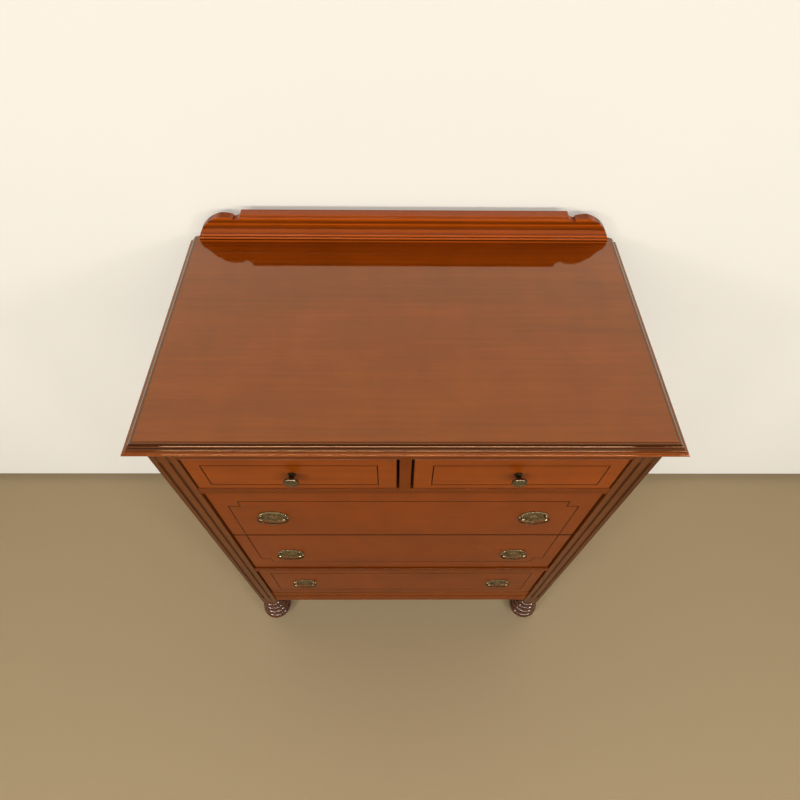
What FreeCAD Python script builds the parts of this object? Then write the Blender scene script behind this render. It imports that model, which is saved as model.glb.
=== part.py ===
import FreeCAD
import Part
import math
import os

# Chest of drawers on turned legs: two short drawers over three long ones between fluted corner
# posts, with a moulded top and a low shaped gallery along the back.
# Sizes are millimetres. X runs to the right as seen from the front, Y runs to the back, Z is up.
# The origin is on the floor under the middle of the top.

Vector = FreeCAD.Vector
NEAR = 0.001
HALF = math.sqrt(0.5)

# Top board and how far it stands past the case
TOP_WIDTH = 858.0
TOP_DEPTH = 489.0
TOP_THICKNESS = 17.0
SIDE_OVERHANG = 18.5
FRONT_OVERHANG = 19.0
BACK_OVERHANG = 19.0

# Moulded edge of the top, from its underside up
NOSE_HEIGHT = 6.5
NOSE_ROUND = 2.5
EDGE_COVE_HEIGHT = 3.0
EDGE_COVE_RUN = 5.0
FILLET_HEIGHT = 1.0
FILLET_LEDGE = 2.5
QUIRK_HEIGHT = 1.2
QUIRK_DEPTH = 0.8
EDGE_OVOLO_RUN = 7.0
RIM_STEP = 1.2
RIM_LEDGE = 1.2

# Gallery, an upright board along the back of the top; its moulded face from the foot up
GALLERY_LENGTH = 804.0
GALLERY_DEPTH = 17.0
GALLERY_HEIGHT = 62.0
GALLERY_SINK = 2.0
GALLERY_PLINTH = 4.5
BEAD_HEIGHT = 7.0
BEAD_DEPTH = 2.2
SCOTIA_HEIGHT = 20.5
SCOTIA_DEPTH = 3.0
GALLERY_FILLET = 2.5
GALLERY_LEDGE = 1.5
GALLERY_NECK = 4.5
CROWN_DEPTH = 2.5
GALLERY_RIM = 3.5

# Front outline of the gallery's ends: a lobe, a notch and a hollow rising to the full height
GALLERY_END = 6.0
LOBE_RUN = 52.0
LOBE_HEIGHT = 56.0
LOBE_BULGE = 9.5
LOBE_LENGTH = 75.0
LOBE_DROP = 3.5
LOBE_CROWN = 1.0
NOTCH_DROP = 3.5
SHOULDER_RUN = 16.5

# Corner posts with two stopped flutes on the front ones
POST_SIZE = 45.5
POST_ROUND = 5.0
POST_ARRIS = 1.2
POST_DROP = 14.0
FLUTE_RADIUS = 2.8
FLUTE_SPACING = 17.5
FLUTE_HEAD = 54.0
FLUTE_FOOT = 52.0

# Turned legs: a stack of rings that spreads downwards, drawn in to a pad
LEG_HEIGHT = 135.0
LEG_HEAD_RADIUS = 21.0
RING_RADII = (25.0, 29.5, 34.0, 38.5, 42.0)
RING_SINK = 3.0
PAD_RADIUS = 30.0
PAD_HEIGHT = 12.0
PEG_WIDTH = 28.0
PEG_LENGTH = 34.0
PEG_CLEAR = 0.25
PEG_WEB = 5.0

# Heights of the rails and drawer fronts, from the bottom rail up
BOTTOM_RAIL_HEIGHT = 77.0
BOTTOM_DRAWER_HEIGHT = 205.0
LOWER_RAIL_HEIGHT = 20.0
MIDDLE_DRAWER_HEIGHT = 222.0
LAP_GAP = 4.0
UPPER_DRAWER_HEIGHT = 212.0
UPPER_RAIL_HEIGHT = 22.0
SMALL_DRAWER_HEIGHT = 107.0
TOP_RAIL_HEIGHT = 44.0
FRONT_GAP = 2.0

# Rails and the frames behind them
RAIL_RECESS = 1.0
RAIL_DEPTH = 58.0
RAIL_ROUND = 2.5
APRON_THICKNESS = 20.0
APRON_RECESS = 3.0
APRON_FACE_HEIGHT = 40.0
APRON_STEP = 1.6
LAP_RAIL_HEIGHT = 18.0
LAP_RAIL_DEPTH = 36.0
LAP_CLEAR = 0.5
TENON_LENGTH = 22.0
TENON_SHOULDER = 5.0
REAR_RAIL_THICKNESS = 20.0
DIVIDER_WIDTH = 20.0
DIVIDER_DEPTH = 26.0
DIVIDER_TENON = 8.0
DIVIDER_GAP = 4.0

# Panels, runners and stops
SIDE_PANEL_THICKNESS = 16.0
SIDE_PANEL_RECESS = 6.0
TONGUE_THICKNESS = 8.0
TONGUE_LENGTH = 8.0
BACK_PANEL_THICKNESS = 6.0
REBATE_WIDTH = 12.0
RUNNER_REACH = 22.0
RUNNER_THICKNESS = 16.0
GUIDE_HEIGHT = 24.0
DUST_THICKNESS = 4.0
DUST_GROOVE = 6.0
STOP_HEIGHT = 12.0
STOP_CLEAR = 0.3

# Drawers
SMALL_RECESS = 2.0
LONG_RECESS = 5.0
FRONT_THICKNESS = 20.0
FRONT_BEVEL = 1.0
FRONT_LAP = 6.0
SIDE_THICKNESS = 11.0
DRAWER_BACK_THICKNESS = 11.0
DRAWER_BACK_DROP = 6.0
DRAWER_BACK_INSET = 12.0
DADO = 4.0
FLOOR_THICKNESS = 5.0
FLOOR_RAISE = 10.0
FLOOR_GROOVE = 5.0
RUN_CLEAR = 0.3
SIDE_TOP_CLEAR = 5.0
DRAWER_REAR_CLEAR = 8.0
TAIL_PITCH = 51.0
PIN_WIDTH = 7.0
TAIL_SLOPE = 1.0 / 6.0

# Bail pulls on the long drawers
PULL_PLACE = 258.0
PULL_FALL = 6.0
PLATE_WIDTH = 60.0
PLATE_HEIGHT = 52.0
PLATE_CORNER = 20.0
PLATE_THICKNESS = 1.4
PLATE_RIM_WIDTH = 2.0
PLATE_RIM_DEPTH = 3.0
BOLT_SPREAD = 46.0
PIVOT_RISE = 5.0
PIVOT_REACH = 8.0
NECK_WIDTH = 6.0
EYE_HEIGHT = 8.4
EYE_WIDTH = 7.0
EYE_BEVEL = 2.2
SHANK_WIDTH = 4.0
SHANK_CLEAR = 0.25
NUT_WIDTH = 9.0
NUT_DEPTH = 4.0
BAIL_WIDTH = 3.4
BAIL_DROP = 20.5
BAIL_ARM = 8.0
BAIL_HEAD = 2.6
BAIL_CLEAR = 0.5
BAIL_PIN_RADIUS = 1.5
BAIL_PIN_CLEAR = 0.05

# Knobs on the small drawers
KNOB_PLACE = 191.0
KNOB_RADIUS = 13.5
KNOB_REACH = 20.0
KNOB_HEAD_DEPTH = 8.0
KNOB_NECK_RADIUS = 5.0

# Plan worked out from the sizes
CASE_HALF = TOP_WIDTH / 2 - SIDE_OVERHANG
CASE_FRONT = -TOP_DEPTH / 2 + FRONT_OVERHANG
CASE_BACK = TOP_DEPTH / 2 - BACK_OVERHANG
POST_INNER = CASE_HALF - POST_SIZE
FRONT_POST_BACK = CASE_FRONT + POST_SIZE
REAR_POST_FRONT = CASE_BACK - POST_SIZE
PANEL_OUTER = CASE_HALF - SIDE_PANEL_RECESS
PANEL_INNER = PANEL_OUTER - SIDE_PANEL_THICKNESS
BACK_PANEL_FRONT = CASE_BACK - BACK_PANEL_THICKNESS
REAR_RAIL_FRONT = BACK_PANEL_FRONT - REAR_RAIL_THICKNESS
RUNNER_INNER = POST_INNER - RUNNER_REACH
RAIL_FRONT = CASE_FRONT + RAIL_RECESS
RAIL_BACK = RAIL_FRONT + RAIL_DEPTH
APRON_FRONT = CASE_FRONT + APRON_RECESS
APRON_BACK = APRON_FRONT + APRON_THICKNESS
SMALL_FACE = CASE_FRONT + SMALL_RECESS
LONG_FACE = CASE_FRONT + LONG_RECESS
LAP_RAIL_FRONT = LONG_FACE + FRONT_THICKNESS + LAP_CLEAR
LAP_RAIL_BACK = LAP_RAIL_FRONT + LAP_RAIL_DEPTH
DRAWER_REAR = REAR_RAIL_FRONT - DRAWER_REAR_CLEAR
DRAWER_HALF = POST_INNER - FRONT_GAP
DIVIDER_HALF = DIVIDER_WIDTH / 2
SMALL_INNER = DIVIDER_HALF + DIVIDER_GAP
CENTRE_GUIDE_HALF = SMALL_INNER - FRONT_GAP
CENTRE_RUNNER_HALF = CENTRE_GUIDE_HALF + RUNNER_REACH

# Heights worked out from the sizes
CASE_FOOT = LEG_HEIGHT + POST_DROP
BOTTOM_RAIL_TOP = CASE_FOOT + BOTTOM_RAIL_HEIGHT
BOTTOM_FRONT_FOOT = BOTTOM_RAIL_TOP + FRONT_GAP
BOTTOM_FRONT_HEAD = BOTTOM_FRONT_FOOT + BOTTOM_DRAWER_HEIGHT
LOWER_RAIL_FOOT = BOTTOM_FRONT_HEAD + FRONT_GAP
LOWER_RAIL_TOP = LOWER_RAIL_FOOT + LOWER_RAIL_HEIGHT
MIDDLE_FRONT_FOOT = LOWER_RAIL_TOP + FRONT_GAP
MIDDLE_FRONT_HEAD = MIDDLE_FRONT_FOOT + MIDDLE_DRAWER_HEIGHT
UPPER_FRONT_FOOT = MIDDLE_FRONT_HEAD + LAP_GAP
LAP_RAIL_FOOT = (MIDDLE_FRONT_HEAD + UPPER_FRONT_FOOT - LAP_RAIL_HEIGHT) / 2
LAP_RAIL_TOP = LAP_RAIL_FOOT + LAP_RAIL_HEIGHT
UPPER_FRONT_HEAD = UPPER_FRONT_FOOT + UPPER_DRAWER_HEIGHT
UPPER_RAIL_FOOT = UPPER_FRONT_HEAD + FRONT_GAP
UPPER_RAIL_TOP = UPPER_RAIL_FOOT + UPPER_RAIL_HEIGHT
SMALL_FRONT_FOOT = UPPER_RAIL_TOP + FRONT_GAP
SMALL_FRONT_HEAD = SMALL_FRONT_FOOT + SMALL_DRAWER_HEIGHT
TOP_RAIL_FOOT = SMALL_FRONT_HEAD + FRONT_GAP
TOP_UNDERSIDE = TOP_RAIL_FOOT + TOP_RAIL_HEIGHT
TOP_SURFACE = TOP_UNDERSIDE + TOP_THICKNESS


def box(x0, x1, y0, y1, z0, z1):
    """Upright block between two corners given in either order along X."""
    return Part.makeBox(abs(x1 - x0), y1 - y0, z1 - z0, Vector(min(x0, x1), y0, z0))


def outline(place, start, *steps):
    """Closed wire; a step is a point, or a pair of points for an arc through the first."""
    edges = []
    here = start
    for step in steps:
        there = step
        if isinstance(step[0], tuple):
            there = step[1]
            edges.append(Part.Arc(place(*here), place(*step[0]), place(*there)).toShape())
        else:
            edges.append(Part.makeLine(place(*here), place(*there)))
        here = there
    if here != start:
        edges.append(Part.makeLine(place(*here), place(*start)))
    return Part.Wire(edges)


def rounded(start, end, hollow):
    """Quarter-round step from start to end: a hollow leaves level, a bead leaves upright."""
    run = end[0] - start[0]
    rise = end[1] - start[1]
    if hollow:
        return (start[0] + run * HALF, start[1] + rise * (1 - HALF)), end
    return (start[0] + run * (1 - HALF), start[1] + rise * HALF), end


def arched(start, end, rise):
    """Arc step from start to end that stands off the straight line, on its left, by the rise."""
    run = end[0] - start[0]
    up = end[1] - start[1]
    span = math.hypot(run, up)
    middle = ((start[0] + end[0] - 2 * rise * up / span) / 2, (start[1] + end[1] + 2 * rise * run / span) / 2)
    return middle, end


def bow(half, drop, corner):
    """Middle and end of the small corner arc of a flattened half oval hanging from its width."""
    middle = half - corner
    radius = (middle ** 2 + drop ** 2 - corner ** 2) / (2 * (drop - corner))
    lean = math.atan2(middle, radius - drop)
    turn = (math.pi / 2 - lean) / 2
    knee = (middle + corner * math.cos(turn), -corner * math.sin(turn))
    return knee, (radius * math.sin(lean), radius - drop - radius * math.cos(lean))


def edges_at(shape, **place):
    """Edges of a shape whose ends all lie at the given x, y or z."""
    found = []
    for edge in shape.Edges:
        ends = [(getattr(end, axis.upper()), value) for end in edge.Vertexes for axis, value in place.items()]
        if all(abs(here - value) < NEAR for here, value in ends):
            found.append(edge)
    return found


def mirrored(shape):
    """The same piece on the other side of the chest."""
    return shape.mirror(Vector(0, 0, 0), Vector(1, 0, 0))


def moulded_slab(place, reach, run):
    """Slab with the moulded edge of the top along one side; place takes inset and height."""
    cove_foot = (NOSE_ROUND, NOSE_HEIGHT)
    cove_head = (NOSE_ROUND + EDGE_COVE_RUN, NOSE_HEIGHT + EDGE_COVE_HEIGHT)
    ledge = cove_head[1] + FILLET_HEIGHT
    quirk = cove_head[0] + FILLET_LEDGE
    ovolo_foot = (quirk - QUIRK_DEPTH, ledge + QUIRK_HEIGHT)
    ovolo_head = (ovolo_foot[0] + EDGE_OVOLO_RUN, TOP_THICKNESS - RIM_STEP)
    rim = ovolo_head[0] + RIM_LEDGE
    section = outline(
        place,
        (reach, 0),
        (NOSE_ROUND, 0),
        ((0, NOSE_HEIGHT / 2), cove_foot),
        rounded(cove_foot, cove_head, hollow=True),
        (cove_head[0], ledge),
        (quirk, ledge),
        (quirk, ovolo_foot[1]),
        ovolo_foot,
        rounded(ovolo_foot, ovolo_head, hollow=False),
        (rim, ovolo_head[1]),
        (rim, TOP_THICKNESS),
        (reach, TOP_THICKNESS),
    )
    return Part.Face(section).extrude(run)


def make_top():
    """Top board, moulded and mitred round the front and both ends, square at the back."""
    left = -TOP_WIDTH / 2
    front = -TOP_DEPTH / 2
    along = Vector(TOP_WIDTH, 0, 0)
    across = Vector(0, TOP_DEPTH, 0)
    board = moulded_slab(lambda e, h: Vector(left, front + e, TOP_UNDERSIDE + h), TOP_DEPTH, along)
    left_end = moulded_slab(lambda e, h: Vector(left + e, front, TOP_UNDERSIDE + h), TOP_WIDTH, across)
    right_end = moulded_slab(lambda e, h: Vector(-left - e, front, TOP_UNDERSIDE + h), TOP_WIDTH, across)
    return board.common(left_end).common(right_end)


def gallery_section():
    """Moulded board of the gallery: two beads, a scotia, a neck and a crown bead under a flat rim."""
    front = TOP_DEPTH / 2 - GALLERY_DEPTH
    beads = [(BEAD_DEPTH, GALLERY_PLINTH + BEAD_HEIGHT * number) for number in range(3)]
    scotia_head = (BEAD_DEPTH, beads[2][1] + SCOTIA_HEIGHT)
    fillet_head = scotia_head[1] + GALLERY_FILLET
    neck = BEAD_DEPTH + GALLERY_LEDGE
    crown_foot = (neck, fillet_head + GALLERY_NECK)
    crown_head = (neck, GALLERY_HEIGHT - GALLERY_RIM)
    section = outline(
        lambda d, h: Vector(-GALLERY_LENGTH / 2, front + d, TOP_SURFACE + h),
        (GALLERY_DEPTH, -GALLERY_SINK),
        (0, -GALLERY_SINK),
        (0, GALLERY_PLINTH),
        beads[0],
        arched(beads[0], beads[1], BEAD_DEPTH),
        arched(beads[1], beads[2], BEAD_DEPTH),
        arched(beads[2], scotia_head, -SCOTIA_DEPTH),
        (BEAD_DEPTH, fillet_head),
        (neck, fillet_head),
        crown_foot,
        arched(crown_foot, crown_head, CROWN_DEPTH),
        (0, crown_head[1]),
        (0, GALLERY_HEIGHT),
        (GALLERY_DEPTH, GALLERY_HEIGHT),
    )
    return Part.Face(section).extrude(Vector(GALLERY_LENGTH, 0, 0))


def make_gallery():
    """Gallery board cut to its front outline: a lobe, a notch and a hollow shoulder at each end."""
    end = GALLERY_LENGTH / 2
    foot = (end, GALLERY_END)
    lobe = (end - LOBE_RUN, LOBE_HEIGHT)
    lobe_end = (end - LOBE_LENGTH, LOBE_HEIGHT - LOBE_DROP)
    notch = (lobe_end[0], lobe_end[1] - NOTCH_DROP)
    shoulder = (notch[0] - SHOULDER_RUN, GALLERY_HEIGHT)
    half = outline(
        lambda x, h: Vector(x, TOP_DEPTH / 2 - GALLERY_DEPTH, TOP_SURFACE + h),
        (0, -GALLERY_SINK),
        (end, -GALLERY_SINK),
        foot,
        arched(foot, lobe, -LOBE_BULGE),
        arched(lobe, lobe_end, -LOBE_CROWN),
        notch,
        rounded(notch, shoulder, hollow=True),
        (0, GALLERY_HEIGHT),
    )
    right = Part.Face(half).extrude(Vector(0, GALLERY_DEPTH, 0))
    return gallery_section().common(right.fuse(mirrored(right)).removeSplitter())


def flute(x):
    """Round cutter for one flute in a front post, stopped short of both ends."""
    foot = LEG_HEIGHT + FLUTE_FOOT
    return Part.makeCylinder(FLUTE_RADIUS, TOP_UNDERSIDE - FLUTE_HEAD - foot, Vector(x, CASE_FRONT, foot))


def make_front_post():
    """Right front post, rounded on its outer corner, with two flutes down its face."""
    post = box(POST_INNER, CASE_HALF, CASE_FRONT, FRONT_POST_BACK, LEG_HEIGHT, TOP_UNDERSIDE)
    post = post.makeFillet(POST_ROUND, edges_at(post, x=CASE_HALF, y=CASE_FRONT))
    post = post.makeFillet(POST_ARRIS, edges_at(post, x=POST_INNER, y=CASE_FRONT))
    middle = CASE_HALF - POST_SIZE / 2
    for shift in (-FLUTE_SPACING / 2, FLUTE_SPACING / 2):
        post = post.cut(flute(middle + shift))
    return post


def make_rear_post():
    """Right rear post, plain, with its outer arris eased."""
    post = box(POST_INNER, CASE_HALF, REAR_POST_FRONT, CASE_BACK, LEG_HEIGHT, TOP_UNDERSIDE)
    return post.makeFillet(POST_ARRIS, edges_at(post, x=CASE_HALF, y=CASE_BACK))


def make_leg(x, y):
    """Turned leg: a spreading stack of rings on a pad, left square for a peg on top."""
    height = (LEG_HEIGHT - PAD_HEIGHT) / len(RING_RADII)
    steps = [(LEG_HEAD_RADIUS, LEG_HEIGHT)]
    following = RING_RADII[1:] + (PAD_RADIUS + RING_SINK,)
    for number, (radius, below) in enumerate(zip(RING_RADII, following)):
        head = LEG_HEIGHT - height * number
        steps += [(radius, head - height / 2), (min(radius, below) - RING_SINK, head - height)]
    steps += [(PAD_RADIUS, 0), (0, 0)]
    section = outline(lambda r, z: Vector(x + r, y, z), (0, LEG_HEIGHT), *steps)
    leg = Part.Face(section).revolve(Vector(x, y, 0), Vector(0, 0, 1), 360)
    return leg.fuse(peg(x, y, 0)).removeSplitter()


def peg(x, y, clear):
    """Square peg on top of a leg, or the mortise for it when some clearance is given."""
    half = PEG_WIDTH / 2 + clear
    return box(x - half, x + half, y - half, y + half, LEG_HEIGHT, LEG_HEIGHT + PEG_LENGTH + clear)


def with_tenons(rail, y0, y1, z0, z1):
    """Rail between the posts with a shouldered tenon at each end."""
    shoulder = TENON_SHOULDER
    reach = POST_INNER + TENON_LENGTH
    tenon = box(POST_INNER, reach, y0 + shoulder, y1 - shoulder, z0 + shoulder, z1 - shoulder)
    return rail.fuse([tenon, mirrored(tenon)]).removeSplitter()


def make_flat_rail(z0, z1):
    """Rail between two drawers, with its front arrises rounded."""
    rail = box(-POST_INNER, POST_INNER, RAIL_FRONT, RAIL_BACK, z0, z1)
    arrises = edges_at(rail, y=RAIL_FRONT, z=z0) + edges_at(rail, y=RAIL_FRONT, z=z1)
    rail = rail.makeFillet(RAIL_ROUND, arrises)
    return with_tenons(rail, RAIL_FRONT, RAIL_BACK, z0, z1)


def make_lap_rail():
    """Rail hidden behind the two long drawers that meet edge to edge."""
    rail = box(-POST_INNER, POST_INNER, LAP_RAIL_FRONT, LAP_RAIL_BACK, LAP_RAIL_FOOT, LAP_RAIL_TOP)
    return with_tenons(rail, LAP_RAIL_FRONT, LAP_RAIL_BACK, LAP_RAIL_FOOT, LAP_RAIL_TOP)


def make_top_rail():
    """Upright rail under the front of the top."""
    back = RAIL_FRONT + APRON_THICKNESS
    rail = box(-POST_INNER, POST_INNER, RAIL_FRONT, back, TOP_RAIL_FOOT, TOP_UNDERSIDE)
    return with_tenons(rail, RAIL_FRONT, back, TOP_RAIL_FOOT, TOP_UNDERSIDE)


def make_bottom_rail():
    """Apron rail: a plain upper face stepping out through a bead to a lower face."""
    step = CASE_FOOT + APRON_FACE_HEIGHT
    lower = (APRON_FRONT, step - APRON_STEP)
    upper = (APRON_FRONT + APRON_STEP, step)
    section = outline(
        lambda y, z: Vector(-POST_INNER, y, z),
        (APRON_BACK, CASE_FOOT),
        (APRON_FRONT + RAIL_ROUND, CASE_FOOT),
        ((APRON_FRONT + RAIL_ROUND * (1 - HALF), CASE_FOOT + RAIL_ROUND * (1 - HALF)),
         (APRON_FRONT, CASE_FOOT + RAIL_ROUND)),
        lower,
        rounded(lower, upper, hollow=False),
        (upper[0], BOTTOM_RAIL_TOP),
        (APRON_BACK, BOTTOM_RAIL_TOP),
    )
    rail = Part.Face(section).extrude(Vector(2 * POST_INNER, 0, 0))
    tenon_foot = LEG_HEIGHT + PEG_LENGTH + PEG_WEB - TENON_SHOULDER
    return with_tenons(rail, APRON_FRONT, APRON_BACK, tenon_foot, BOTTOM_RAIL_TOP)


def make_divider():
    """Upright between the small drawers, with eased front arrises and stub tenons in the rails."""
    back = RAIL_FRONT + DIVIDER_DEPTH
    divider = box(-DIVIDER_HALF, DIVIDER_HALF, RAIL_FRONT, back, UPPER_RAIL_TOP, TOP_RAIL_FOOT)
    arrises = [edge for x in (-DIVIDER_HALF, DIVIDER_HALF) for edge in edges_at(divider, x=x, y=RAIL_FRONT)]
    divider = divider.makeFillet(POST_ARRIS, arrises)
    inset = TENON_SHOULDER
    foot = UPPER_RAIL_TOP - DIVIDER_TENON
    head = TOP_RAIL_FOOT + DIVIDER_TENON
    tenon_back = RAIL_FRONT + APRON_THICKNESS - inset
    tenon = box(-DIVIDER_HALF + inset, DIVIDER_HALF - inset, RAIL_FRONT + inset, tenon_back, foot, head)
    return divider.fuse(tenon).removeSplitter()


def make_side_panel():
    """Right side panel with a tongue along each upright edge."""
    panel = box(PANEL_INNER, PANEL_OUTER, FRONT_POST_BACK, REAR_POST_FRONT, CASE_FOOT, TOP_UNDERSIDE)
    inner = (PANEL_INNER + PANEL_OUTER - TONGUE_THICKNESS) / 2
    front = FRONT_POST_BACK - TONGUE_LENGTH
    back = REAR_POST_FRONT + TONGUE_LENGTH
    tongue = box(inner, inner + TONGUE_THICKNESS, front, back, CASE_FOOT, TOP_UNDERSIDE)
    return panel.fuse(tongue).removeSplitter()


def make_back_panel():
    """Thin back let into the rebates of the rear posts."""
    edge = POST_INNER + REBATE_WIDTH
    return box(-edge, edge, BACK_PANEL_FRONT, CASE_BACK, CASE_FOOT, TOP_UNDERSIDE)


def make_rear_rail(z0, z1):
    """Cross rail between the rear posts."""
    rail = box(-POST_INNER, POST_INNER, REAR_RAIL_FRONT, BACK_PANEL_FRONT, z0, z1)
    return with_tenons(rail, REAR_RAIL_FRONT, BACK_PANEL_FRONT, z0, z1)


def make_runner(top, front):
    """Right runner: the ledge that a drawer side slides on."""
    return box(RUNNER_INNER, PANEL_INNER, front, REAR_RAIL_FRONT, top - RUNNER_THICKNESS, top)


def make_guide(top, front):
    """Strip on a right runner that keeps the drawer side from wandering."""
    return box(POST_INNER, PANEL_INNER, front, REAR_RAIL_FRONT, top, top + GUIDE_HEIGHT)


def make_centre_runner():
    """Runner behind the divider that carries both small drawers."""
    top = UPPER_RAIL_TOP
    half = CENTRE_RUNNER_HALF
    return box(-half, half, RAIL_BACK, REAR_RAIL_FRONT, top - RUNNER_THICKNESS, top)


def make_centre_guide():
    """Strip on the centre runner, between the small drawers."""
    top = UPPER_RAIL_TOP
    half = CENTRE_GUIDE_HALF
    return box(-half, half, RAIL_BACK, REAR_RAIL_FRONT, top, top + GUIDE_HEIGHT)


def make_dust_panel(top, front, left, right):
    """Thin panel in the grooves of a drawer frame, keeping dust off the drawer below."""
    z0 = top - (RUNNER_THICKNESS + DUST_THICKNESS) / 2
    y0 = front - DUST_GROOVE
    y1 = REAR_RAIL_FRONT + DUST_GROOVE
    return box(left - DUST_GROOVE, right + DUST_GROOVE, y0, y1, z0, z0 + DUST_THICKNESS)


def make_cleat(left, right):
    """Strip under the top, which is screwed to it; the small drawers run beneath it."""
    front = RAIL_FRONT + APRON_THICKNESS
    return box(left, right, front, REAR_RAIL_FRONT, TOP_RAIL_FOOT, TOP_UNDERSIDE)


def make_stop(left, right, top):
    """Block on a runner that the rear of a closed drawer side comes up against."""
    front = DRAWER_REAR + STOP_CLEAR
    return box(left, right, front, REAR_RAIL_FRONT, top, top + STOP_HEIGHT)


def tails(shoulder, tip, low, high):
    """Points up one end of a drawer side, through as many dovetails as its height takes."""
    count = round((high - low) / TAIL_PITCH)
    pitch = (high - low) / count
    tip_half = (pitch - PIN_WIDTH) / 2
    root_half = tip_half - TAIL_SLOPE * abs(tip - shoulder)
    points = []
    for number in range(count):
        middle = low + pitch * (number + 0.5)
        points.append((shoulder, middle - root_half))
        points.append((tip, middle - tip_half))
        points.append((tip, middle + tip_half))
        points.append((shoulder, middle + root_half))
    return points


def make_drawer(x0, x1, face, foot, head, floor, ceiling):
    """Front, sides, back and floor of one drawer, dovetailed at the front and housed at the back."""
    inner_face = face + FRONT_THICKNESS
    side_foot = floor + RUN_CLEAR
    side_head = ceiling - SIDE_TOP_CLEAR
    board_foot = side_foot + FLOOR_RAISE
    board_head = board_foot + FLOOR_THICKNESS
    back_rear = DRAWER_REAR - DRAWER_BACK_INSET
    front = box(x0, x1, face, inner_face, foot, head)
    front = front.makeChamfer(FRONT_BEVEL, edges_at(front, y=face))
    section = outline(
        lambda y, z: Vector(x0, y, z),
        (inner_face, side_foot),
        *tails(inner_face, face + FRONT_LAP, side_foot, side_head),
        (inner_face, side_head),
        (DRAWER_REAR, side_head),
        (DRAWER_REAR, side_foot),
    )
    left = Part.Face(section).extrude(Vector(SIDE_THICKNESS, 0, 0))
    right = left.translated(Vector(x1 - x0 - SIDE_THICKNESS, 0, 0))
    reach = SIDE_THICKNESS - FLOOR_GROOVE
    board = box(x0 + reach, x1 - reach, inner_face - FLOOR_GROOVE, DRAWER_REAR, board_foot, board_head)
    reach = SIDE_THICKNESS - DADO
    back_front = back_rear - DRAWER_BACK_THICKNESS
    back = box(x0 + reach, x1 - reach, back_front, back_rear, board_head, side_head - DRAWER_BACK_DROP)
    return {
        "front": front.cut([left, right, board]),
        "sides": Part.makeCompound([side.cut([board, back]) for side in (left, right)]),
        "back": back,
        "floor": board,
    }


def block(x, z, width, y0, y1):
    """Square bar set square to the drawer faces."""
    return box(x - width / 2, x + width / 2, y0, y1, z - width / 2, z + width / 2)


def make_shank(x, face, z):
    """Square shank through a drawer front, with a square nut drawn up inside the drawer."""
    inner = face + FRONT_THICKNESS
    nut = block(x, z, NUT_WIDTH, inner, inner + NUT_DEPTH)
    return block(x, z, SHANK_WIDTH, face, inner).fuse(nut)


def shank_hole(x, face, z):
    """Square hole through a drawer front, or the plate on it, for a shank."""
    return block(x, z, SHANK_WIDTH + 2 * SHANK_CLEAR, face - PLATE_THICKNESS, face + FRONT_THICKNESS)


def oval(x, y, z, half, drop, corner, depth):
    """Oval plate of arcs, standing forward of y by its depth."""
    knee, end = bow(half, drop, corner)
    section = outline(
        lambda u, v: Vector(x + u, y, z + v),
        (half, 0),
        (knee, end),
        ((0, -drop), (-end[0], end[1])),
        ((-knee[0], knee[1]), (-half, 0)),
        ((-knee[0], -knee[1]), (-end[0], -end[1])),
        ((0, drop), (end[0], -end[1])),
        ((knee[0], -knee[1]), (half, 0)),
    )
    return Part.Face(section).extrude(Vector(0, -depth, 0))


def make_backplate(x, face, z):
    """Oval plate with a raised rim round a dished field, holed for its two bolts and clear of their necks."""
    half = PLATE_WIDTH / 2
    drop = PLATE_HEIGHT / 2
    rim = PLATE_RIM_WIDTH
    dish = face - PLATE_THICKNESS
    plate = oval(x, face, z, half, drop, PLATE_CORNER, PLATE_RIM_DEPTH)
    plate = plate.cut(oval(x, dish, z, half - rim, drop - rim, PLATE_CORNER - rim, PLATE_RIM_DEPTH))
    neck_space = NECK_WIDTH + 2 * SHANK_CLEAR
    height = z + PIVOT_RISE
    for bolt_x in (x - BOLT_SPREAD / 2, x + BOLT_SPREAD / 2):
        neck = block(bolt_x, height, neck_space, face - PLATE_RIM_DEPTH, dish)
        plate = plate.cut([shank_hole(bolt_x, face, height), neck])
    return plate


def make_bolt(x, face, z):
    """Bolt of a pull: a square neck with an eye for the bail's pin, a shank and its nut."""
    pivot = face - PIVOT_REACH
    half = EYE_HEIGHT / 2
    left = x - EYE_WIDTH / 2
    section = outline(
        lambda y, v: Vector(left, pivot + y, z + v),
        (half, -half),
        (half, half),
        (EYE_BEVEL - half, half),
        (-half, half - EYE_BEVEL),
        (-half, EYE_BEVEL - half),
        (EYE_BEVEL - half, -half),
    )
    eye = Part.Face(section).extrude(Vector(EYE_WIDTH, 0, 0))
    neck = block(x, z, NECK_WIDTH, pivot, face - PLATE_THICKNESS)
    shank = block(x, z, SHANK_WIDTH, pivot, face)
    radius = BAIL_PIN_RADIUS + BAIL_PIN_CLEAR
    bore = Part.makeCylinder(radius, EYE_WIDTH, Vector(left, pivot, z), Vector(1, 0, 0))
    return eye.fuse([neck, shank, make_shank(x, face, z)]).cut(bore).removeSplitter()


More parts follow.
